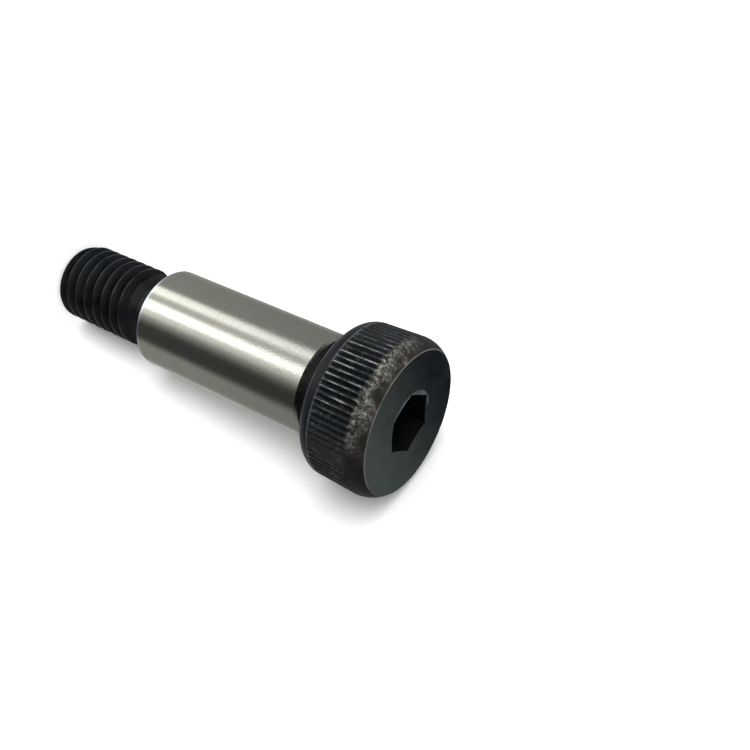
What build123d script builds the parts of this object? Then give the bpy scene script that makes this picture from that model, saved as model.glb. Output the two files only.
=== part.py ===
from build123d import *
import math
import os

# Socket-head shoulder bolt, standing on its thread end. Millimetres, +Z out of the head.
# One forged and turned piece: thread, relief groove, ground shoulder, neck and knurled head.

# Thread, coarse metric
thread_diameter = 8.0
thread_pitch = 1.25
thread_length = 12.5          # from the bolt's end to the shoulder
thread_crest_share = 0.125    # flat crest, as a share of the pitch
thread_root_share = 0.25      # flat root between two ridges, as a share of the pitch
thread_flank_angle = 30.0     # each flank from the plane across the axis
thread_end_chamfer = 0.5
thread_ridge_sunk = 0.15      # how deep the ridge's foot is buried in the core
thread_ridge_overrun = 1      # turns of the ridge past each end, trimmed off
thread_core_overrun = 3       # turns of the core past each end, so that it carries the whole ridge
thread_trim_clearance = 0.6   # how far the trimming cones stand out past the crests

# Relief groove between the thread and the shoulder
relief_diameter = 6.1
relief_width = 2.0
relief_fillet = 0.4

# Ground shoulder, the bearing part of the bolt
shoulder_diameter = 10.0
shoulder_length = 20.0
shoulder_end_chamfer = 0.35

# Neck under the head, where the grinding wheel runs out
neck_diameter = 9.5
neck_width = 1.8
neck_chamfer = 0.2
neck_fillet = 0.45            # into the bearing face

# Head
head_height = 7.0
head_diameter = 15.1          # over the knurl, at its thickest
head_shank_side_diameter = 14.8
head_face_diameter = 13.7
head_crown_height = 1.75      # rounded edge round the face
bearing_face_diameter = 13.3
head_underside_height = 1.45  # rounded edge round the bearing face

# Rounded edges and fillets are turned as this many short cones each
rounding_steps = 2

# Straight knurl
knurl_count = 80
knurl_depth = 0.26
knurl_crest_share = 0.3       # width of a ridge's top, as a share of the knurl's pitch
knurl_stock = 0.02            # on the blank's radius, all of it taken off by the knurl

# Hexagon socket, forged, with a shallow countersink
socket_across_flats = 5.0
socket_depth = 4.4
socket_mouth_diameter = 6.3
socket_countersink_angle = 30.0   # from the face
socket_mouth_flare = 0.3          # how much wider the hexagon is at the face
socket_flare_depth = 0.7
socket_floor_angle = 30.0         # the drill point's slope
socket_turn = 30.0                # turns two of the flats to face +X and -X

# Heights of the steps, from the bolt's end up
shoulder_bottom = thread_length
shoulder_top = shoulder_bottom + shoulder_length
bearing_height = shoulder_top + neck_width
face_height = bearing_height + head_height
drum_bottom = bearing_height + head_underside_height
drum_top = face_height - head_crown_height


def turned(points):
    """Solid of revolution from (radius, height) points that start and end on the axis."""
    outline = Polyline(*[(r, 0, z) for r, z in points], close=True)
    return revolve(make_face(outline), Axis.Z)


def rounding(start, end, tangent):
    """Points of the arc that leaves start along tangent and ends at end, as (radius, height) pairs."""
    arc = TangentArc(start, end, tangent=tangent)
    points = [arc @ (n / rounding_steps) for n in range(rounding_steps + 1)]
    return [(point.X, point.Y) for point in points]


def thread_ridge():
    """Helical ridge that stands on the thread's core, longer than the thread at both ends."""
    slope = math.tan(math.radians(thread_flank_angle))
    crest = thread_crest_share * thread_pitch / 2
    root = (1 - thread_root_share) * thread_pitch / 2
    height = (root - crest) / slope
    core_radius = thread_diameter / 2 - height
    base = root + thread_ridge_sunk * slope
    inner = core_radius - thread_ridge_sunk
    outer = thread_diameter / 2
    start = -thread_ridge_overrun * thread_pitch
    length = thread_length - 2 * start
    path = Helix(thread_pitch, length, core_radius, center=(0, 0, start))
    section = Polyline(
        (inner, 0, start - base),
        (outer, 0, start - crest),
        (outer, 0, start + crest),
        (inner, 0, start + base),
        close=True,
    )
    ridge = sweep(make_face(section), path=path, is_frenet=True)
    return ridge, core_radius


def thread():
    """Core and ridge, trimmed by a cone at the bolt's end and by another at the relief groove."""
    ridge, core_radius = thread_ridge()
    core_length = thread_length + 2 * thread_core_overrun * thread_pitch
    core = Pos(0, 0, thread_length / 2) * Cylinder(core_radius, core_length)
    major = thread_diameter / 2
    relief = relief_diameter / 2
    relief_start = thread_length - relief_width
    runout = major - relief
    trim = turned(
        [
            (0, 0),
            (major - thread_end_chamfer, 0),
            (major + thread_trim_clearance, thread_end_chamfer + thread_trim_clearance),
            (major + thread_trim_clearance, relief_start - runout - thread_trim_clearance),
            (relief, relief_start),
            (0, relief_start),
        ]
    )
    return (core + ridge) & trim


def shank():
    """Relief groove, ground shoulder and neck, turned in one outline."""
    relief = relief_diameter / 2
    shoulder = shoulder_diameter / 2
    neck = neck_diameter / 2
    neck_start = shoulder_top - neck_chamfer
    relief_foot = rounding(
        (relief, shoulder_bottom - relief_fillet), (relief + relief_fillet, shoulder_bottom), (0, 1)
    )
    neck_foot = rounding((neck, bearing_height - neck_fillet), (neck + neck_fillet, bearing_height), (0, 1))
    return turned(
        [
            (0, thread_length - relief_width),
            (relief, thread_length - relief_width),
            *relief_foot,
            (shoulder - shoulder_end_chamfer, shoulder_bottom),
            (shoulder, shoulder_bottom + shoulder_end_chamfer),
            (shoulder, neck_start),
            (neck, neck_start + (shoulder - neck)),
            *neck_foot,
            (0, bearing_height),
        ]
    )


def drum_radius(height):
    """Radius over the ridges at a height: the head tapers a little towards the shank."""
    share = (height - drum_bottom) / (drum_top - drum_bottom)
    diameter = head_shank_side_diameter + (head_diameter - head_shank_side_diameter) * share
    return diameter / 2


def head_blank():
    """Head before knurling: a slightly tapered drum with a rounded edge at each end."""
    bearing = bearing_face_diameter / 2
    face = head_face_diameter / 2
    low = drum_radius(drum_bottom) + knurl_stock
    high = drum_radius(drum_top) + knurl_stock
    underside = rounding((low, drum_bottom), (bearing, bearing_height), (0, -1))
    top = rounding((high, drum_top), (face, face_height), (0, 1))
    return turned([(0, bearing_height), *reversed(underside), *top, (0, face_height)])


def knurl_outline(height):
    """Flat-topped ridges and V grooves round the head, in the plane at that height."""
    radius = drum_radius(height)
    groove = radius * (1 - 2 * knurl_depth / head_diameter)
    step = 360 / knurl_count
    half_crest = knurl_crest_share * step / 2
    points = []
    for n in range(knurl_count):
        ridge = (n + 0.5) * step
        points.append(Vector(groove, 0, height).rotate(Axis.Z, n * step))
        points.append(Vector(radius, 0, height).rotate(Axis.Z, ridge - half_crest))
        points.append(Vector(radius, 0, height).rotate(Axis.Z, ridge + half_crest))
    return make_face(Polyline(*points, close=True))


def socket():
    """Everything that the punch takes out of the head's face."""
    floor = face_height - socket_depth
    flats = RegularPolygon(socket_across_flats / 2, 6, major_radius=False, rotation=socket_turn)
    well = Pos(0, 0, floor) * extrude(flats, socket_depth)
    mouth_flat = (socket_across_flats + socket_mouth_flare) / 2
    mouth = RegularPolygon(mouth_flat, 6, major_radius=False, rotation=socket_turn)
    flare = loft([Pos(0, 0, face_height - socket_flare_depth) * flats, Pos(0, 0, face_height) * mouth])
    sink_radius = socket_mouth_diameter / 2
    sink_depth = sink_radius * math.tan(math.radians(socket_countersink_angle))
    countersink = turned([(0, face_height - sink_depth), (sink_radius, face_height), (0, face_height)])
    cone_radius = socket_across_flats / 2
    cone_depth = cone_radius * math.tan(math.radians(socket_floor_angle))
    floor_cone = turned([(0, floor - cone_depth), (cone_radius, floor), (0, floor)])
    return well + flare + countersink + floor_cone


def head():
    """Knurled blank with the socket punched into it."""
    knurl = loft([knurl_outline(bearing_height), knurl_outline(face_height)], ruled=True)
    return (head_blank() & knurl) - socket()


shoulder_bolt = thread() + shank() + head()

os.makedirs("parts", exist_ok=True)
export_step(shoulder_bolt, "parts/shoulder_bolt.step")
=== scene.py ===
import bpy
import math
from mathutils import Matrix, Vector


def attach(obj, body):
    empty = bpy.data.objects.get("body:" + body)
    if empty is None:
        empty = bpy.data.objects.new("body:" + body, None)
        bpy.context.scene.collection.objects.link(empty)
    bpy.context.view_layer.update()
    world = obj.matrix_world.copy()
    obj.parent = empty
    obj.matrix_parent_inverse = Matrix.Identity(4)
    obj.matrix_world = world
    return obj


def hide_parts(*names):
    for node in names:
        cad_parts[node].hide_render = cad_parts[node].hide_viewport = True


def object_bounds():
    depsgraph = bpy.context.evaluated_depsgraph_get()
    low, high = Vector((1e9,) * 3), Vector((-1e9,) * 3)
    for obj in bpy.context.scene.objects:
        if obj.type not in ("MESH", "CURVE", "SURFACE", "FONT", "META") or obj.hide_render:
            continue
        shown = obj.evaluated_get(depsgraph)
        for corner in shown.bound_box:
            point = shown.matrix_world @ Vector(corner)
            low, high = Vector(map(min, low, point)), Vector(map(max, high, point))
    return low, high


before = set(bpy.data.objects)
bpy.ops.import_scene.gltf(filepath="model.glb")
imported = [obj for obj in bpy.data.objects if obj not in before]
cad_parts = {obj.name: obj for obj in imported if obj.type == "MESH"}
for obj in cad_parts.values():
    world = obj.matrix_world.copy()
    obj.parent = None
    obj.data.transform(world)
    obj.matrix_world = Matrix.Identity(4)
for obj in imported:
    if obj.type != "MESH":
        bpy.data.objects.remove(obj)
cadLow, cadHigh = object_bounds()
print("frame loaded, box", cadLow, cadHigh)

mm = 0.001
weldReach = 0.0005 * mm    # points of a piece that are closer than this become one
creaseAngle = 38           # degrees between two faces from which their edge is sharp


class Num:
    # wraps a number's socket in a node tree: sums on it add Math nodes
    def __init__(self, maker, socket):
        self.maker = maker
        self.socket = socket

    def math(self, operation, *others):
        return self.maker.get("ShaderNodeMath", {"operation": operation}, [self, *others])

    def __add__(self, other):
        return self.math("ADD", other)

    def __mul__(self, other):
        return self.math("MULTIPLY", other)

    def __sub__(self, other):
        return self.math("SUBTRACT", other)

    def __truediv__(self, other):
        return self.math("DIVIDE", other)

    def __pow__(self, other):
        return self.math("POWER", other)

    def __rsub__(self, other):
        return self.maker.number(other).math("SUBTRACT", self)

    def __rtruediv__(self, other):
        return self.maker.number(other).math("DIVIDE", self)

    __radd__ = __add__
    __rmul__ = __mul__

    def clamp(self):
        return self.math("MAXIMUM", 0).math("MINIMUM", 1)

    def within(self, low, high):
        # 0 at low, 1 at high, straight between them
        return ((self - low) / (high - low)).clamp()

    def near(self, place, reach):
        # 1 at the place, 0 from reach on
        return 1 - (self - place).math("ABSOLUTE").within(0, reach)


class Maker:
    # makes the nodes of one tree
    def __init__(self, tree):
        self.tree = tree

    def add(self, kind, settings=None, inputs=None):
        node = self.tree.nodes.new(kind)
        for name, value in (settings or {}).items():
            setattr(node, name, value)
        pairs = inputs or {}
        if not isinstance(pairs, dict):
            pairs = dict(enumerate(pairs))
        for name, value in pairs.items():
            if isinstance(value, Num):
                self.tree.links.new(value.socket, node.inputs[name])
            else:
                node.inputs[name].default_value = value
        return node

    def get(self, kind, settings=None, inputs=None, name=0):
        return Num(self, self.add(kind, settings, inputs).outputs[name])

    def number(self, value):
        node = self.add("ShaderNodeValue")
        node.outputs[0].default_value = value
        return Num(self, node.outputs[0])

    def split(self, vector):
        node = self.add("ShaderNodeSeparateXYZ", None, [vector])
        return [Num(self, socket) for socket in node.outputs]

    def noise(self, vector, scale, detail, roughness):
        # scale is one number, or one for each axis
        if isinstance(scale, tuple):
            vector = self.get("ShaderNodeVectorMath", {"operation": "MULTIPLY"}, [vector, scale])
            scale = 1
        return self.get("ShaderNodeTexNoise", None, {
            "Vector": vector, "Scale": scale, "Detail": detail, "Roughness": roughness})

    def blend(self, share, colour, other):
        # colour where share is 0, other where it is 1; 6 and 7 are the node's colour sockets
        return self.get("ShaderNodeMix", {"data_type": "RGBA"}, {0: share, 6: colour, 7: other}, 2)

    def bump(self, height, depth):
        return self.get("ShaderNodeBump", None, {"Height": height, "Distance": depth})


def linear(red, green, blue):
    # a colour as a screen shows it, 0 to 255, in the renderer's own scale
    return (*[((part / 255 + 0.055) / 1.055) ** 2.4 for part in (red, green, blue)], 1.0)


def startTree(name, sizes):
    tree = bpy.data.node_groups.new(name, "GeometryNodeTree")
    tree.interface.new_socket("Geometry", in_out="INPUT", socket_type="NodeSocketGeometry")
    for label, value in sizes.items():
        kind = "NodeSocketInt" if isinstance(value, int) else "NodeSocketFloat"
        socket = tree.interface.new_socket(label, in_out="INPUT", socket_type=kind)
        socket.default_value = value
    tree.interface.new_socket("Geometry", in_out="OUTPUT", socket_type="NodeSocketGeometry")
    maker = Maker(tree)
    given = maker.add("NodeGroupInput")
    return maker, {socket.name: Num(maker, socket) for socket in given.outputs if socket.name}


def polarGrid(maker, columns, rows):
    # a flat sheet of quads; gives it with each point's column and row
    mesh = maker.get("GeometryNodeMeshGrid", None, {"Vertices X": columns + 1, "Vertices Y": rows})
    index = maker.get("GeometryNodeInputIndex")
    column = (index / rows).math("FLOOR")
    row = index - column * rows
    return mesh, column, row


def sampleProfile(maker, size, row, value, kind="FLOAT"):
    return maker.get("GeometryNodeSampleIndex", {"data_type": kind},
                     {"Geometry": size["Geometry"], "Value": value, "Index": row})


def profilePoint(maker, size, row):
    # radius and height of the profile's point of that row
    place = maker.get("GeometryNodeInputPosition")
    parts = maker.split(sampleProfile(maker, size, row, place, "FLOAT_VECTOR"))
    return parts[0], parts[2]


def setAround(maker, mesh, angle, radius, height):
    place = maker.get("ShaderNodeCombineXYZ", None,
                      [radius * angle.math("COSINE"), radius * angle.math("SINE"), height])
    return maker.get("GeometryNodeSetPosition", None, {"Geometry": mesh, "Position": place})


def store(maker, mesh, name, value):
    return maker.get("GeometryNodeStoreNamedAttribute", {"data_type": "FLOAT", "domain": "POINT"},
                     {"Geometry": mesh, "Name": name, "Value": value})


def finishTree(maker, mesh, material, inside=None, insideMaterial=None, crease=creaseAngle):
    # closes seams and poles, keeps hard edges crisp and gives the finish, and another one inside
    mesh = maker.get("GeometryNodeMergeByDistance", None, {"Geometry": mesh, "Distance": weldReach})
    mesh = maker.get("GeometryNodeSetShadeSmooth", {"domain": "FACE"}, {0: mesh, "Shade Smooth": True})
    angle = maker.get("GeometryNodeInputMeshEdgeAngle")
    sharp = angle.math("GREATER_THAN", math.radians(crease))
    mesh = maker.get("GeometryNodeSetShadeSmooth", {"domain": "EDGE"},
                     {0: mesh, "Selection": sharp, "Shade Smooth": False})
    mesh = maker.get("GeometryNodeRealizeInstances", None, {"Geometry": mesh})
    mesh = maker.get("GeometryNodeSetMaterial", None, {"Geometry": mesh, "Material": material})
    if inside:
        mesh = maker.get("GeometryNodeSetMaterial", None,
                         {"Geometry": mesh, "Selection": inside, "Material": insideMaterial})
    end = maker.tree.nodes.new("NodeGroupOutput")
    maker.tree.links.new(mesh.socket, end.inputs[0])


def makePiece(name, tree, sizes, profile=()):
    # runs the tree on the profile's points and keeps the result as a plain mesh
    source = bpy.data.meshes.new(name + "Profile")
    source.from_pydata([(point[0], 0, point[1]) for point in profile], [], [])
    for place, label in ((2, "hexShare"), (3, "rimShare")):
        if profile and len(profile[0]) > place:
            layer = source.attributes.new(label, "FLOAT", "POINT")
            for item, point in zip(layer.data, profile):
                item.value = point[place]
    obj = bpy.data.objects.new(name, source)
    bpy.context.scene.collection.objects.link(obj)
    modifier = obj.modifiers.new(name, "NODES")
    modifier.node_group = tree
    for item in tree.interface.items_tree:
        if item.item_type == "SOCKET" and item.in_out == "INPUT" and item.name in sizes:
            modifier[item.identifier] = sizes[item.name]
    bpy.context.view_layer.update()
    made = bpy.data.meshes.new_from_object(obj.evaluated_get(bpy.context.evaluated_depsgraph_get()))
    obj.modifiers.remove(modifier)
    obj.data = made
    made.name = name
    bpy.data.meshes.remove(source)
    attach(obj, "root")
    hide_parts("shoulder_bolt")
    print(name, len(made.polygons), "faces")


def arc(start, end, steps):
    # points after start on the arc that leaves start straight up or down and ends at end
    dr = end[0] - start[0]
    dz = end[1] - start[1]
    half = math.atan2(abs(dr), abs(dz))
    radius = math.hypot(dr, dz) / (2 * math.sin(half))
    points = []
    for n in range(1, steps + 1):
        turn = 2 * half * n / steps
        points.append((start[0] + math.copysign(radius * (1 - math.cos(turn)), dr),
                       start[1] + math.copysign(radius * math.sin(turn), dz)))
    return points


def straight(start, end, steps):
    return [(start[0] + (end[0] - start[0]) * n / steps, start[1] + (end[1] - start[1]) * n / steps)
            for n in range(1, steps + 1)]


def startFinish(name, constants):
    # a material with one shader; gives the point on the piece too
    material = bpy.data.materials.new(name)
    material.use_nodes = True
    maker = Maker(material.node_tree)
    shader = material.node_tree.nodes["Principled BSDF"]
    for label, value in constants.items():
        shader.inputs[label].default_value = value
    point = maker.get("ShaderNodeTexCoord", None, None, "Object")
    return material, maker, shader, point


def feed(maker, shader, values):
    for label, value in values.items():
        maker.tree.links.new(value.socket, shader.inputs[label])


bolt = {
    "face": cadHigh[2],              # height of the head's face
    "headHeight": 7.0 * mm,
    "neckWidth": 1.8 * mm,
    "shoulderLength": 20.0 * mm,
    "wornAndLitSide": 241,                 # direction that the wear faces, where marks are also painted lighter as highlight, between the light above and the camera, degrees from +X
}
bearingHeight = bolt["face"] - bolt["headHeight"]
shoulderTop = bearingHeight - bolt["neckWidth"]
shoulderBottom = shoulderTop - bolt["shoulderLength"]


def facing(x, y, radius, degrees):
    # 1 where the surface is on that side of the axis, -1 opposite
    turn = math.radians(degrees)
    return (x * math.cos(turn) + y * math.sin(turn)) / radius


def withinAngles(toward, start, full):
    # 0 at the first angle from the side that is faced, 1 at the second, in degrees
    return toward.within(math.cos(math.radians(start)), math.cos(math.radians(full)))


# in the finishes below, a noise is its scale, detail and roughness, and its middle is 0.5; a range
# is where a mask starts and where it is full

# ground steel of the shoulder
groundSteel = {
    # the end by the head is darker: painted shade, the head's reflection
    "headEndPaintedShade": linear(116, 117, 110),
    "threadEnd": linear(130, 132, 124),
    "edgeTint": (0.62, 0.62, 0.6, 1.0),    # keeps the outline from turning white
    "roughness": 0.15,
    "roughnessSpread": 0.06,
    "grinding": ((160, 160, 6500), 3, 0.6),
    "line": linear(112, 112, 106),
    "lineRange": (0.45, 0.75),
    "lineShare": 0.5,
    "fineGrinding": ((1400, 1400, 16000), 2, 0.6),
    "fineShare": 0.6,                # of the grinding's depth
    "grindingDepth": 0.0003 * mm,
    "clouds": ((180, 180, 320), 3, 0.6),
    "smudge": linear(124, 117, 105),
    "smudgeRange": (0.5, 0.75),
    "smudgeShare": 0.4,
    "frost": (5600, 2, 0.6),         # fine pits, more of them towards the head
    "frostLength": 14 * mm,
    "frostRange": (0.4, 0.7),
    "frostShare": 0.6,
    "frostRoughness": 0.03,
    "frostDepth": 0.016 * mm,
    "frostLeast": 0.3,               # share of that depth at the thread's end
    # light bluish ring on the end chamfer, in patches: painted highlight
    "chamfer": linear(168, 175, 180),
    "chamferRoughness": 0.4,
    "chamferHeights": (0.3 * mm, 0.6 * mm),    # from the shoulder's end: full up to, gone from
    "chamferRange": (0.2, 0.5),
}


def makeGroundSteel():
    look = groundSteel
    material, maker, shader, point = startFinish("groundSteel", {
        "Metallic": 1.0, "Specular Tint": look["edgeTint"]})
    lines = maker.noise(point, *look["grinding"])
    fine = maker.noise(point, *look["fineGrinding"])
    clouds = maker.noise(point, *look["clouds"])
    frost = maker.noise(point, *look["frost"])
    x, y, z = maker.split(point)
    headSide = z.within(shoulderTop - look["frostLength"], shoulderTop)
    full, gone = look["chamferHeights"]
    # painted highlight on the end chamfer
    onChamferHighlight = 1 - z.within(shoulderBottom + full, shoulderBottom + gone)
    onChamferHighlight = clouds.within(*look["chamferRange"]) * onChamferHighlight
    # darker towards the head: painted shade
    colour = maker.blend(z.within(shoulderBottom, shoulderTop), look["threadEnd"], look["headEndPaintedShade"])
    colour = maker.blend(lines.within(*look["lineRange"]) * look["lineShare"], colour, look["line"])
    colour = maker.blend(clouds.within(*look["smudgeRange"]) * look["smudgeShare"], colour, look["smudge"])
    frosted = frost.within(*look["frostRange"]) * headSide * look["frostShare"]
    colour = maker.blend(frosted, colour, look["line"])
    colour = maker.blend(onChamferHighlight, colour, look["chamfer"])
    rough = look["roughness"] + look["roughnessSpread"] * (fine - 0.5) + look["frostRoughness"] * headSide
    rough = rough + onChamferHighlight * (look["chamferRoughness"] - look["roughness"])
    height = (lines + fine * look["fineShare"]) * look["grindingDepth"]
    deepening = look["frostLeast"] + (1 - look["frostLeast"]) * headSide
    height = height + frost * deepening * look["frostDepth"]
    feed(maker, shader, {"Base Color": colour, "Roughness": rough, "Normal": maker.bump(height, 1.0)})
    return material


# black oxide of the thread and the turned recesses
blackOxide = {
    "deep": linear(9, 10, 12),
    "thin": linear(28, 32, 35),
    "thinRange": (0.35, 0.7),
    "patches": (520, 3, 0.55),
    "specular": 0.08,
    "roughness": 0.42,
    "roughnessSpread": 0.2,
    "grain": (4200, 4, 0.6),
    "grainDepth": 0.004 * mm,
    "crest": linear(41, 46, 51),     # thread crests, lighter in patches: wear with painted highlight
    "crestShare": 0.85,
    "rubbedCrest": (0.6, 0.99),
    "rubbedPatches": (0.38, 0.7),
    "rubbedGrain": (0.3, 0.6),
    "rubbedPolish": 0.08,            # roughness that rubbing takes away
}

# the neck's oxide, darker than the thread's: painted shade in the undercut between the shoulder and the
# head
neckOxideAndShade = {
    **blackOxide,
    "deep": linear(3, 4, 5),
    "thin": linear(12, 14, 16),
    "specular": 0.05,
}


def storedCrest(maker):
    # how near a point is to the crest of its ridge, stored by the piece's tree
    return maker.get("ShaderNodeAttribute", {"attribute_name": "crest"}, None, "Fac")


def makeBlackOxide(name, look):
    material, maker, shader, point = startFinish(name, {"Specular IOR Level": look["specular"]})
    grain = maker.noise(point, *look["grain"])
    patches = maker.noise(point, *look["patches"])
    # lighter crests: wear, and painted highlight
    crestWearAndHighlight = storedCrest(maker).within(*look["rubbedCrest"]) * patches.within(*look["rubbedPatches"])
    crestWearAndHighlight = crestWearAndHighlight * grain.within(*look["rubbedGrain"])
    colour = maker.blend(patches.within(*look["thinRange"]), look["deep"], look["thin"])
    colour = maker.blend(crestWearAndHighlight * look["crestShare"], colour, look["crest"])
    rough = look["roughness"] + look["roughnessSpread"] * (grain - 0.5) - look["rubbedPolish"] * crestWearAndHighlight
    feed(maker, shader, {"Base Color": colour, "Roughness": rough,
                         "Normal": maker.bump(grain, look["grainDepth"])})
    return material


# the head's form
head = {
    "diameter": 15.09 * mm,
    "shankSideDiameter": 14.8 * mm,
    "faceDiameter": 13.7 * mm,
    "bearingDiameter": 13.3 * mm,
    "crownHeight": 1.75 * mm,
    "undersideHeight": 1.45 * mm,
    "undersideSteps": 14,
    "drumSteps": 8,
    "crownSteps": 16,
    "faceSteps": 4,
    "ridges": 80,
    "columnsPerRidge": 12,
    "grooveDepth": 0.26 * mm,
    "crestShare": 0.3,
    "crestSoftness": 0.25,
    "crownFade": 0.7 * mm,           # over which the grooves run out on the crown
    "footFade": 0.4 * mm,            # and at the underside's rounded edge
    "acrossFlats": 5.0 * mm,
    "socketDepth": 4.4 * mm,
    "mouthFlare": 0.3 * mm,
    "flareDepth": 0.7 * mm,
    "rimReach": 0.36 * mm,           # from there down the hexagon's rows are level
    "floorEdge": 0.98,               # share of the flat where the socket's floor turns round
    "floorSlope": 0.5,
    "sinkDiameter": 6.3 * mm,
    "sinkSlope": 12,                 # degrees
    "rimDepth": 0.1 * mm,            # below it the socket is black: oxide darkened as painted shade
}

# the head's finish, in layers; depths are below the face
headOxide = {
    "specular": 0.07,
    "roughness": 0.46,
    "roughnessSpread": 0.22,
    "crownRoughness": 0.12,
    "grain": (4200, 4, 0.65),
    "grainShare": 0.25,              # of the grit's depth
    "grit": (2300, 3, 0.7),
    "gritDepth": 0.02 * mm,
    "gritLeast": 0.4,                # share of that depth on the crown's other side
    "patches": (620, 3, 0.6),
}

knurlLook = {
    "groove": linear(17, 19, 22),
    "ridge": linear(22, 26, 29),
    "ridgeRange": (0.1, 0.7),
    "dot": linear(82, 86, 86),
    "dotGrit": (0.54, 0.66),
    "dotPatches": (0.4, 0.6),
    "dotShare": 0.6,
    # bright ridge lines: wear, with painted highlight
    "rubbedAndLitRidge": linear(172, 175, 174),
    "rubbedAndLitAngles": (34, 20),        # degrees from the worn side, where highlights are painted
    "rubbedAndLitLeast": 0.1,              # share of the wear and its painted highlight elsewhere
    "streaks": ((1500, 1500, 500), 3, 0.6),
    "streakRange": (0.38, 0.6),
    "streakGrain": (0.3, 0.5),
    "lineRange": (0.76, 1.02),
    "lineWander": 0.7,
    "foot": linear(11, 14, 18),      # below the knurl
    "footDepths": (5.55 * mm, 5.7 * mm),
}

crownLook = {
    "plain": linear(17, 16, 15),
    # lighter crown on the side facing the light: wear with painted highlight
    "wornAndLit": linear(56, 54, 50),
    "depths": (1.5 * mm, 1.95 * mm),
    "wander": 0.9 * mm,
    "radii": (6.7 * mm, 6.8 * mm),
    "wornAndLitAngles": (72, 24),
    "wornPatches": (0.3, 0.6),
    # bare specks towards the lit side: wear with painted highlight
    "speck": linear(176, 175, 168),
    "speckAngles": (54, 16),
    "speckGrit": (0.42, 0.6),
    "speckGrain": (0.35, 0.6),
    "clusterRange": (0.42, 0.68),
    "clusterGrowth": 5 * mm,         # further down there are more of them
    "clusterStart": 0.14,
}

edgeLook = {
    # light line round the face's edge: wear, with painted highlight on the lit side
    "face": linear(141, 138, 132),
    "faceReach": 0.09 * mm,
    "faceDepth": 0.16 * mm,
    "faceWornAndLit": (-0.75, 0.2),
    "facePatches": (0.2, 0.5),
    # light bluish rings at both ends of the underside: painted highlights
    "ringHighlight": linear(101, 107, 112),
    "rings": [(6.8 * mm, 0.14 * mm), (5.66 * mm, 0.13 * mm)],    # depth and reach of each
    "ringPatches": (0.3, 0.6),
    "ringShare": 0.7,
}

faceLook = {
    "light": linear(79, 86, 86),
    # the face's darker side: painted shade, the reflection of a dark surround
    "dark": linear(15, 21, 27),
    "depths": (0.01 * mm, 0.04 * mm),
    "radii": (6.76 * mm, 6.84 * mm),
    "mouthRadii": (3.2 * mm, 3.3 * mm),        # everything inside them counts as face
    "darkSide": 148,                 # degrees from +X
    "darkRange": (-0.8, 0.6),        # across the face
    "darkShare": 0.95,
    "patchShare": 0.4,
    "patchStart": 0.2,
    # light crescent on the countersink to one side: painted highlight
    "sinkHighlight": linear(136, 143, 149),
    "sinkStart": (2.5 * mm, 2.6 * mm),
    "sinkEnd": (3.1 * mm, 3.17 * mm),
    "sinkSide": 205,
    "sinkSideRange": (0.1, 0.8),
    "sinkPatches": (0.2, 0.6),
    "sinkShare": 0.75,
}


def headPlaces(maker, point):
    # the measures and noises that the layers of the finish share
    x, y, z = maker.split(point)
    radius = (x * x + y * y) ** 0.5
    return {
        "x": x, "y": y, "radius": radius, "below": bolt["face"] - z,
        # towards the worn side, which is also the side of the painted highlights
        "wornAndLit": facing(x, y, radius, bolt["wornAndLitSide"]),
        "grain": maker.noise(point, *headOxide["grain"]),
        "grit": maker.noise(point, *headOxide["grit"]),
        "patches": maker.noise(point, *headOxide["patches"]),
    }


def knurlLayer(maker, point, at):
    # dark grooves, dull ridges, bright ones where hands and tools rub, most of all on the side facing the
    # light: wear with painted highlight
    look = knurlLook
    crest = storedCrest(maker)
    streaks = maker.noise(point, *look["streaks"])
    broken = streaks.within(*look["streakRange"]) * at["grain"].within(*look["streakGrain"])
    line = (crest + (streaks - 0.5) * look["lineWander"]).within(*look["lineRange"])
    dots = at["grit"].within(*look["dotGrit"]) * at["patches"].within(*look["dotPatches"])
    rubbedAndLitSide = withinAngles(at["wornAndLit"], *look["rubbedAndLitAngles"])
    rubbingAndHighlight = look["rubbedAndLitLeast"] + (1 - look["rubbedAndLitLeast"]) * rubbedAndLitSide
    colour = maker.blend(crest.within(*look["ridgeRange"]), look["groove"], look["ridge"])
    colour = maker.blend(dots * look["dotShare"], colour, look["dot"])
    colour = maker.blend(line * broken * rubbingAndHighlight, colour, look["rubbedAndLitRidge"])
    return maker.blend(at["below"].within(*look["footDepths"]), colour, look["foot"])


def crownLayer(maker, at, colour):
    # brown, rough, worn to bare specks, lighter on the worn side that faces the light: wear with painted
    # highlight
    look = crownLook
    patches = at["patches"]
    onCrown = 1 - (at["below"] + (patches - 0.5) * look["wander"]).within(*look["depths"])
    onCrown = onCrown * at["radius"].within(*look["radii"])
    wornAndLit = withinAngles(at["wornAndLit"], *look["wornAndLitAngles"])
    clusters = patches + at["below"] / look["clusterGrowth"] - look["clusterStart"]
    specks = at["grit"].within(*look["speckGrit"]) * clusters.within(*look["clusterRange"])
    specks = specks * withinAngles(at["wornAndLit"], *look["speckAngles"])
    crown = maker.blend(wornAndLit * patches.within(*look["wornPatches"]), look["plain"], look["wornAndLit"])
    crown = maker.blend(specks * at["grain"].within(*look["speckGrain"]), crown, look["speck"])
    return maker.blend(onCrown, colour, crown), onCrown, wornAndLit


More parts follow.
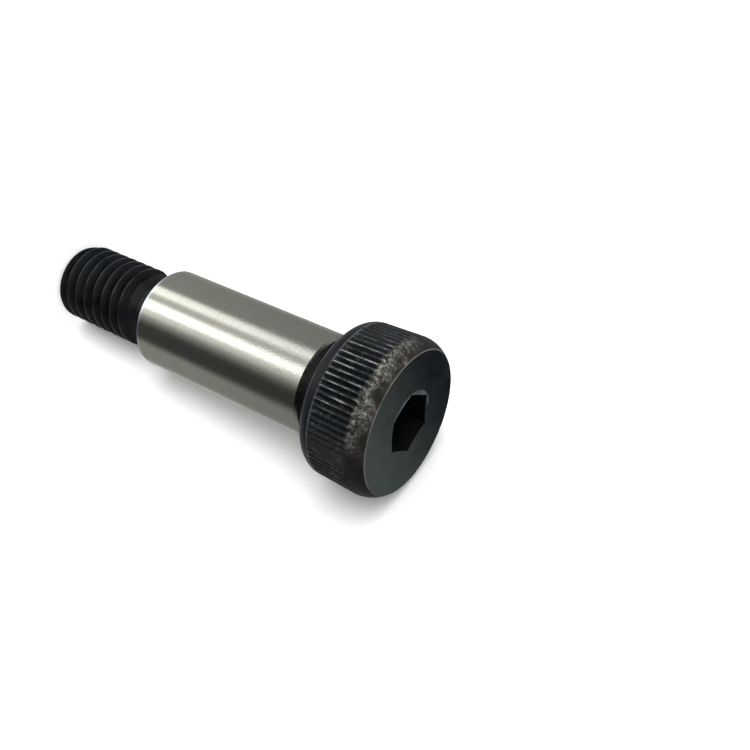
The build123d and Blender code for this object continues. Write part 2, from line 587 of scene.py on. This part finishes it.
def edgeLayer(maker, at, colour):
    # thin light lines on the edges: round the face, wear with painted highlight on the lit side; and
    # painted highlights at both ends of the underside
    look = edgeLook
    onWornAndLitFaceEdge = at["radius"].near(head["faceDiameter"] / 2, look["faceReach"])
    onWornAndLitFaceEdge = onWornAndLitFaceEdge * at["below"].near(0, look["faceDepth"])
    onWornAndLitFaceEdge = onWornAndLitFaceEdge * at["wornAndLit"].within(*look["faceWornAndLit"])
    onWornAndLitFaceEdge = onWornAndLitFaceEdge * at["patches"].within(*look["facePatches"])
    # painted highlights on the underside's edges
    onRingHighlights = sum(at["below"].near(depth, reach) for depth, reach in look["rings"]).clamp()
    onRingHighlights = onRingHighlights * at["patches"].within(*look["ringPatches"])
    colour = maker.blend(onWornAndLitFaceEdge, colour, look["face"])
    return maker.blend(onRingHighlights * look["ringShare"], colour, look["ringHighlight"])


def faceLayer(maker, at, colour):
    # flat face, darker to one side: painted shade, broken by patches; and the countersink's light rim:
    # painted highlight
    look = faceLook
    x, y, radius, patches = at["x"], at["y"], at["radius"], at["patches"]
    onFace = (1 - at["below"].within(*look["depths"])) * (1 - radius.within(*look["radii"]))
    onFace = onFace.math("MAXIMUM", 1 - radius.within(*look["mouthRadii"]))
    # painted shade: darker towards one side
    dark = (facing(x, y, 1, look["darkSide"]) / (head["faceDiameter"] / 2)).within(*look["darkRange"])
    dark = dark * look["darkShare"] + patches * look["patchShare"] - look["patchStart"]
    face = maker.blend(dark.clamp(), look["light"], look["dark"])
    # painted highlight on the countersink
    onSinkHighlight = radius.within(*look["sinkStart"]) * (1 - radius.within(*look["sinkEnd"]))
    onSinkHighlight = onSinkHighlight * facing(x, y, radius, look["sinkSide"]).within(*look["sinkSideRange"])
    onSinkHighlight = onSinkHighlight * patches.within(*look["sinkPatches"])
    face = maker.blend(onSinkHighlight * look["sinkShare"], face, look["sinkHighlight"])
    return maker.blend(onFace, colour, face), onFace


def makeHeadOxide():
    look = headOxide
    material, maker, shader, point = startFinish("headOxide", {"Specular IOR Level": look["specular"]})
    at = headPlaces(maker, point)
    colour = knurlLayer(maker, point, at)
    colour, onCrown, wornAndLitCrown = crownLayer(maker, at, colour)
    colour = edgeLayer(maker, at, colour)
    colour, onFace = faceLayer(maker, at, colour)
    rough = look["roughness"] + look["roughnessSpread"] * (at["grain"] - 0.5)
    rough = rough + look["crownRoughness"] * onCrown
    deepening = look["gritLeast"] + (1 - look["gritLeast"]) * wornAndLitCrown
    height = at["grain"] * look["grainShare"] + at["grit"] * onCrown * deepening * (1 - onFace)
    feed(maker, shader, {"Base Color": colour, "Roughness": rough,
                         "Normal": maker.bump(height, look["gritDepth"])})
    return material


# inside of the socket: black oxide, darkened to near black as painted shade in the deep hole
socketOxideAndShade = {
    "deep": linear(3, 3, 4),
    "scuff": linear(13, 14, 16),
    "scuffRange": (0.35, 0.7),
    "specular": 0.03,
    "roughness": 0.55,
    "roughnessSpread": 0.3,
    "grain": (2600, 3, 0.6),
}


def makeSocketOxideAndShade():
    look = socketOxideAndShade
    material, maker, shader, point = startFinish("socketOxideAndShade", {"Specular IOR Level": look["specular"]})
    grain = maker.noise(point, *look["grain"])
    colour = maker.blend(grain.within(*look["scuffRange"]), look["deep"], look["scuff"])
    rough = look["roughness"] + look["roughnessSpread"] * (grain - 0.5)
    feed(maker, shader, {"Base Color": colour, "Roughness": rough})
    return material


def namedShare(maker, size, row, name):
    # a value that the profile carries for each of its points
    value = maker.get("GeometryNodeInputNamedAttribute", {"data_type": "FLOAT"}, {"Name": name})
    return sampleProfile(maker, size, row, value)


def headTree(material, socketMaterial):
    # the inputs' own values are only a start: makeHead sets each of them
    maker, size = startTree("knurledHead", {
        "Columns": 720, "Rows": 60, "Ridges": 80, "Low Height": 0.0357, "Low Radius": 0.0074,
        "High Height": 0.0395, "High Radius": 0.0075, "Groove Depth": 0.00026, "Crest Share": 0.3,
        "Crest Softness": 0.25, "Crown Fade": 0.0007, "Foot Fade": 0.0004, "Sink Radius": 0.003,
        "Sink Slope": 0.5, "Socket Top": 0.041})
    mesh, column, row = polarGrid(maker, size["Columns"], size["Rows"])
    radius, height = profilePoint(maker, size, row)
    hexShare = namedShare(maker, size, row, "hexShare")
    rimShare = namedShare(maker, size, row, "rimShare")
    angle = column * (2 * math.pi) / size["Columns"]
    # V grooves, cut into whatever stands outside them
    share = (height - size["Low Height"]) / (size["High Height"] - size["Low Height"])
    drum = size["Low Radius"] + (size["High Radius"] - size["Low Radius"]) * share
    phase = (column * size["Ridges"] / size["Columns"]).math("FRACT")
    fromGroove = 1 - (phase * 2 - 1).math("ABSOLUTE")
    rise = (fromGroove / (1 - size["Crest Share"])).math("SMOOTH_MIN", 1, size["Crest Softness"])
    fade = height.within(size["High Height"], size["High Height"] + size["Crown Fade"])
    halfFoot = 0.5 * size["Foot Fade"]
    fade = fade + (size["Low Height"] - height).within(-1 * halfFoot, halfFoot)
    grooved = drum - size["Groove Depth"] * (1 - rise - fade)
    knurled = radius.math("MINIMUM", grooved)
    # hexagon: the apothem's radius grows towards its corners
    sector = ((angle / (math.pi / 3) + 0.5).math("FRACT") - 0.5) * (math.pi / 3)
    hexGrowth = 1 / sector.math("COSINE") - 1
    reach = knurled * (1 + hexShare * hexGrowth)
    # the hexagon's rim lies on the countersink's cone
    sunk = (size["Sink Radius"] - reach) * size["Sink Slope"]
    level = height - rimShare * sunk
    mesh = store(maker, mesh, "crest", fromGroove)
    # faces inside the socket's mouth
    x, y, z = maker.split(maker.get("GeometryNodeInputPosition"))
    inside = (size["Sink Radius"] - (x * x + y * y) ** 0.5).math("GREATER_THAN", 0)
    inside = inside * (size["Socket Top"] - z).math("GREATER_THAN", 0)
    mesh = setAround(maker, mesh, angle, reach, level)
    finishTree(maker, mesh, material, inside, socketMaterial)
    return maker.tree


def headProfile():
    # underside, drum, crown, face and socket, as (radius, height, hexagon, rim)
    face = bolt["face"]
    drumBottom = (head["shankSideDiameter"] / 2, bearingHeight + head["undersideHeight"])
    drumTop = (head["diameter"] / 2, face - head["crownHeight"])
    bearingEdge = (head["bearingDiameter"] / 2, bearingHeight)
    faceEdge = (head["faceDiameter"] / 2, face)
    underside = [drumBottom, *arc(drumBottom, bearingEdge, head["undersideSteps"])]
    outer = [(0, bearingHeight), *reversed(underside)]
    outer += straight(drumBottom, drumTop, head["drumSteps"])
    outer += arc(drumTop, faceEdge, head["crownSteps"])
    outer += straight(faceEdge, (head["sinkDiameter"] / 2, face), head["faceSteps"])
    flat = head["acrossFlats"] / 2
    mouth = flat + head["mouthFlare"] / 2
    floor = face - head["socketDepth"]
    return [
        *[(radius, height, 0, 0) for radius, height in outer],
        (mouth, face, 1, 1),
        (mouth, face - head["rimReach"], 1, 0),
        (flat, face - head["flareDepth"], 1, 0),
        (flat, floor, 1, 0),
        (flat * head["floorEdge"], floor, 0, 0),
        (0, floor - flat * head["floorSlope"], 0, 0),
    ]


def makeHead():
    profile = headProfile()
    makePiece("knurledHead", headTree(makeHeadOxide(), makeSocketOxideAndShade()), {
        "Columns": head["ridges"] * head["columnsPerRidge"], "Rows": len(profile),
        "Ridges": head["ridges"], "Low Height": bearingHeight + head["undersideHeight"],
        "Low Radius": head["shankSideDiameter"] / 2, "High Height": bolt["face"] - head["crownHeight"],
        "High Radius": head["diameter"] / 2, "Groove Depth": head["grooveDepth"],
        "Crest Share": head["crestShare"], "Crest Softness": head["crestSoftness"],
        "Crown Fade": head["crownFade"], "Foot Fade": head["footFade"],
        "Sink Radius": head["sinkDiameter"] / 2, "Sink Slope": math.tan(math.radians(head["sinkSlope"])),
        "Socket Top": bolt["face"] - head["rimDepth"]}, profile)


# neck, shoulder and relief groove, each turned from its own outline
shank = {
    "shoulderDiameter": 10.0 * mm,
    "endChamfer": 0.35 * mm,
    "neckDiameter": 9.5 * mm,
    "neckChamfer": 0.2 * mm,
    "neckFillet": 0.45 * mm,
    "reliefDiameter": 6.1 * mm,
    "reliefWidth": 2.0 * mm,
    "reliefFillet": 0.4 * mm,
    "filletSteps": 4,
    "shoulderSteps": 12,
    "columns": 192,
}


def latheTree(name, material):
    maker, size = startTree(name, {"Columns": 192, "Rows": 10})
    mesh, column, row = polarGrid(maker, size["Columns"], size["Rows"])
    radius, height = profilePoint(maker, size, row)
    angle = column * (2 * math.pi) / size["Columns"]
    finishTree(maker, setAround(maker, mesh, angle, radius, height), material)
    return maker.tree


def makeTurned(name, profile, material):
    makePiece(name, latheTree(name, material), {"Columns": shank["columns"], "Rows": len(profile)}, profile)


def makeShank(steel, oxide, darkOxide):
    relief = shank["reliefDiameter"] / 2
    shoulder = shank["shoulderDiameter"] / 2
    neck = shank["neckDiameter"] / 2
    reliefStart = shoulderBottom - shank["reliefWidth"]
    groove = [(0, reliefStart), (relief, reliefStart), (relief, shoulderBottom - shank["reliefFillet"])]
    groove += arc(groove[-1], (relief + shank["reliefFillet"], shoulderBottom), shank["filletSteps"])
    groove.append((0, shoulderBottom))
    ground = [(0, shoulderBottom), (shoulder - shank["endChamfer"], shoulderBottom),
              (shoulder, shoulderBottom + shank["endChamfer"])]
    ground += straight(ground[-1], (shoulder, shoulderTop - shank["neckChamfer"]), shank["shoulderSteps"])
    neckStart = shoulderTop - shank["neckChamfer"] + shoulder - neck
    ground += [(neck, neckStart), (0, neckStart)]
    recess = [(0, neckStart), (neck, neckStart), (neck, bearingHeight - shank["neckFillet"])]
    recess += arc(recess[-1], (neck + shank["neckFillet"], bearingHeight), shank["filletSteps"])
    recess.append((0, bearingHeight))
    makeTurned("reliefGroove", groove, oxide)
    makeTurned("groundShoulder", ground, steel)
    makeTurned("neck", recess, darkOxide)


thread = {
    "diameter": 8.0 * mm,
    "pitch": 1.25 * mm,
    "crestShare": 0.125,             # of the pitch
    "rootShare": 0.25,
    "flank": 30,                     # degrees from the plane across the axis
    "creaseAngle": 25,               # less than the flank, so that the ends' edges are crisp
    "endChamfer": 0.5 * mm,
    "columns": 192,
    "rowsPerTurn": 16,
}


def threadTree(material):
    # the inputs' own values are only a start: makeThread sets each of them
    maker, size = startTree("screwThread", {
        "Columns": 192, "Rows": 163, "Rows per Turn": 16, "Pitch": 0.00125, "Major Radius": 0.004,
        "Root Radius": 0.0033, "Crest Share": 0.125, "Root Share": 0.25, "Chamfer": 0.0005,
        "Runout Radius": 0.003, "Length": 0.01})
    mesh, column, row = polarGrid(maker, size["Columns"], size["Rows"])
    turn = column / size["Columns"]
    angle = turn * (2 * math.pi)
    # each row climbs a pitch in a turn and is held between the thread's ends
    climbed = ((row - 1) / size["Rows per Turn"] + turn - 1) * size["Pitch"]
    height = climbed.math("MAXIMUM", 0).math("MINIMUM", size["Length"])
    # 0 on the crest's middle, 1 in the root's
    away = ((height / size["Pitch"] - turn + 1).math("FRACT") * 2 - 1).math("ABSOLUTE")
    fall = away.within(size["Crest Share"], 1 - size["Root Share"])
    ridge = size["Major Radius"] - (size["Major Radius"] - size["Root Radius"]) * fall
    # the end's chamfer and the run-out trim the ridge
    chamfered = size["Major Radius"] - size["Chamfer"] + height
    runout = size["Runout Radius"] + size["Length"] - height
    radius = ridge.math("MINIMUM", chamfered).math("MINIMUM", runout)
    # the first and the last row close the ends on the axis
    closed = row.within(0, 1) * (size["Rows"] - 1 - row).within(0, 1)
    mesh = store(maker, mesh, "crest", (1 - fall) * height.within(0, size["Chamfer"]))
    mesh = setAround(maker, mesh, angle, radius * closed, height)
    finishTree(maker, mesh, material, crease=thread["creaseAngle"])
    return maker.tree


def makeThread(oxide):
    length = shoulderBottom - shank["reliefWidth"] - cadLow[2]
    flankWidth = (1 - thread["crestShare"] - thread["rootShare"]) * thread["pitch"] / 2
    depth = flankWidth / math.tan(math.radians(thread["flank"]))
    # the rows slope, so they climb a turn past the length; 3 more end the climb and close both ends
    turns = math.ceil(length / thread["pitch"]) + 1
    makePiece("screwThread", threadTree(oxide), {
        "Columns": thread["columns"], "Rows": turns * thread["rowsPerTurn"] + 3,
        "Rows per Turn": thread["rowsPerTurn"], "Pitch": thread["pitch"],
        "Major Radius": thread["diameter"] / 2, "Root Radius": thread["diameter"] / 2 - depth,
        "Crest Share": thread["crestShare"], "Root Share": thread["rootShare"],
        "Chamfer": thread["endChamfer"], "Runout Radius": shank["reliefDiameter"] / 2, "Length": length})


oxide = makeBlackOxide("blackOxide", blackOxide)
makeHead()
makeShank(makeGroundSteel(), oxide, makeBlackOxide("neckOxideAndShade", neckOxideAndShade))
makeThread(oxide)

# studio: a pale floor, a pale table that the bolt's side lies against, and a white surround
studio = {
    "fillAround": 0.5,               # light from everywhere
    "fillAbove": 2.5,                # and more of it from above the table
    "aboveFocus": 8,                 # how narrowly that is gathered
    "floorShare": 1 / 30,            # of it that reaches the floor, which stands upright to it
    "surround": 0.92,                # what bare metal sees between the strips
    # direction in degrees from +X, how far it is full, where it ends, light
    "strips": [(212, 5, 14, 3.0), (250, 5, 13, 3.9), (262, 3, 19, 1.7), (234, 8, 34, 0.9)],
    "shade": [(314, 12, 34, 0.83)],  # the same, with the share of the light taken away
    "dimTurn": 80,                   # where a dim surface stands above the head's far side
    "dimRise": 30,
    "dimRange": (0.62, 0.9),         # cosines of the angles where it starts and is full
    "dimShare": 0.9,
    "tableSide": 42,                 # direction of the table from the axis, degrees from +X
    "tableReach": 0.4,
    "floorReach": 0.5,
    "floorGap": 0.02 * mm,           # keeps the bolt's end and the floor apart
    "floorWhite": 1.25,              # light that the floor and table would show in the open
    "tableWhite": 1.55,
    "floorGlow": 0.5,                # the part of it that is their own
    "tableGlow": 0.0,
}


def paleShader(name, open, glow, received):
    # white in the open, darker where the bolt keeps light off it, clear from behind
    material = bpy.data.materials.new(name)
    material.use_nodes = True
    tree = material.node_tree
    tree.nodes.clear()
    maker = Maker(tree)
    white = (open - glow) / received
    diffuse = maker.get("ShaderNodeBsdfDiffuse", None, {"Color": (white, white, white, 1)})
    light = maker.get("ShaderNodeEmission", None, {"Color": (1, 1, 1, 1), "Strength": glow})
    both = maker.get("ShaderNodeAddShader", None, [diffuse, light])
    clear = maker.get("ShaderNodeBsdfTransparent")
    behind = maker.get("ShaderNodeNewGeometry", None, None, "Backfacing")
    surface = maker.get("ShaderNodeMixShader", None, [behind, both, clear])
    output = maker.add("ShaderNodeOutputMaterial")
    tree.links.new(surface.socket, output.inputs["Surface"])
    return material


def makeSheet(name, corners, material):
    mesh = bpy.data.meshes.new(name)
    mesh.from_pydata(corners, [], [(0, 1, 2, 3)])
    mesh.materials.append(material)
    sheet = bpy.data.objects.new(name, mesh)
    bpy.context.scene.collection.objects.link(sheet)
    sheet.visible_diffuse = False
    sheet.visible_glossy = False
    sheet.visible_shadow = False


def makeStage():
    # light that each sheet receives; a focus of n gives the table 2 / (n + 2) of what is above it
    onTable = studio["fillAround"] + studio["fillAbove"] * 2 / (studio["aboveFocus"] + 2)
    onFloor = studio["fillAround"] + studio["fillAbove"] * studio["floorShare"]
    reach = studio["floorReach"]
    level = cadLow[2] - studio["floorGap"]
    makeSheet("floor", [(-reach, -reach, level), (reach, -reach, level),
                        (reach, reach, level), (-reach, reach, level)],
              paleShader("paleFloor", studio["floorWhite"], studio["floorGlow"], onFloor))
    # the table touches the head's rim and the thread's first crest
    side = math.radians(studio["tableSide"])
    out = Vector((math.cos(side), math.sin(side), 0))
    low = out * thread["diameter"] / 2 + Vector((0, 0, cadLow[2] + thread["endChamfer"]))
    high = out * head["diameter"] / 2 + Vector((0, 0, bolt["face"] - head["crownHeight"]))
    along = (high - low).normalized()
    across = Vector((-out.y, out.x, 0))
    reach = studio["tableReach"]
    corners = [low - along * low.z + across * reach, low - along * low.z - across * reach,
               low + along * reach - across * reach, low + along * reach + across * reach]
    makeSheet("table", corners,
              paleShader("paleTable", studio["tableWhite"], studio["tableGlow"], onTable))


def makeSurround():
    world = bpy.data.worlds.new("surround")
    bpy.context.scene.world = world
    world.use_nodes = True
    world.cycles.sampling_method = "NONE"    # the fill is even enough to be sampled by chance
    maker = Maker(world.node_tree)
    world.node_tree.nodes.clear()
    direction = maker.get("ShaderNodeTexCoord", None, None, "Generated")
    x, y, z = maker.split(direction)
    tiny = 0.0001    # keeps it from being 0 straight up
    level = (x * x + y * y) ** 0.5 + tiny

    def band(turn, full, out):
        # 1 near that direction, 0 away from it, with soft ends
        share = withinAngles(facing(x, y, level, turn), out, full)
        return share * share * (3 - 2 * share)

    seen = maker.number(studio["surround"])
    for turn, full, out, strength in studio["strips"]:
        seen = seen + strength * band(turn, full, out)
    for turn, full, out, taken in studio["shade"]:
        seen = seen * (1 - taken * band(turn, full, out))
    beyond = facing(x, y, 1, studio["dimTurn"]) * math.cos(math.radians(studio["dimRise"]))
    beyond = beyond + z * math.sin(math.radians(studio["dimRise"]))
    seen = seen * (1 - studio["dimShare"] * beyond.within(*studio["dimRange"]))
    # the camera sees plain white, glossy surfaces the strips, and the rest is lit by the fill
    path = maker.add("ShaderNodeLightPath")
    camera = Num(maker, path.outputs["Is Camera Ray"])
    glossy = Num(maker, path.outputs["Is Glossy Ray"])
    clear = Num(maker, path.outputs["Is Transmission Ray"])
    plain = 1 - (camera + glossy + clear).clamp()
    above = facing(x, y, 1, studio["tableSide"] + 180).math("MAXIMUM", 0)
    fill = studio["fillAround"] + studio["fillAbove"] * above ** studio["aboveFocus"]
    strength = camera + clear + glossy * seen + plain * fill
    back = maker.get("ShaderNodeBackground", None, {"Color": (1, 1, 1, 1), "Strength": strength})
    output = maker.add("ShaderNodeOutputWorld")
    world.node_tree.links.new(back.socket, output.inputs["Surface"])


makeStage()
makeSurround()
print("stage and surround made")

camera = {
    "aim": (-2.66 * mm, 0.46 * mm, bolt["face"] - 5.0 * mm),   # beside the bolt's axis
    "azimuth": -9.72,                # degrees, 0 looks along +Y
    "elevation": 26.93,
    "distance": 83.0 * mm,
    "roll": 113.0,
    "lens": 44.5,
    "sensor": 36,
    "clip": 1 * mm,
}


def makeCamera():
    turn = math.radians(camera["azimuth"])
    rise = math.radians(camera["elevation"])
    away = Vector((math.sin(turn) * math.cos(rise), -math.cos(turn) * math.cos(rise), math.sin(rise)))
    data = bpy.data.cameras.new("camera")
    data.lens = camera["lens"]
    data.sensor_width = camera["sensor"]
    data.clip_start = camera["clip"]
    obj = bpy.data.objects.new("camera", data)
    bpy.context.scene.collection.objects.link(obj)
    look = away.to_track_quat("Z", "Y").to_matrix().to_4x4()
    roll = Matrix.Rotation(math.radians(camera["roll"]), 4, "Z")
    obj.matrix_world = Matrix.Translation(Vector(camera["aim"]) + away * camera["distance"]) @ look @ roll
    bpy.context.scene.camera = obj


makeCamera()
bpy.context.scene.view_settings.view_transform = "Standard"
print("camera set")
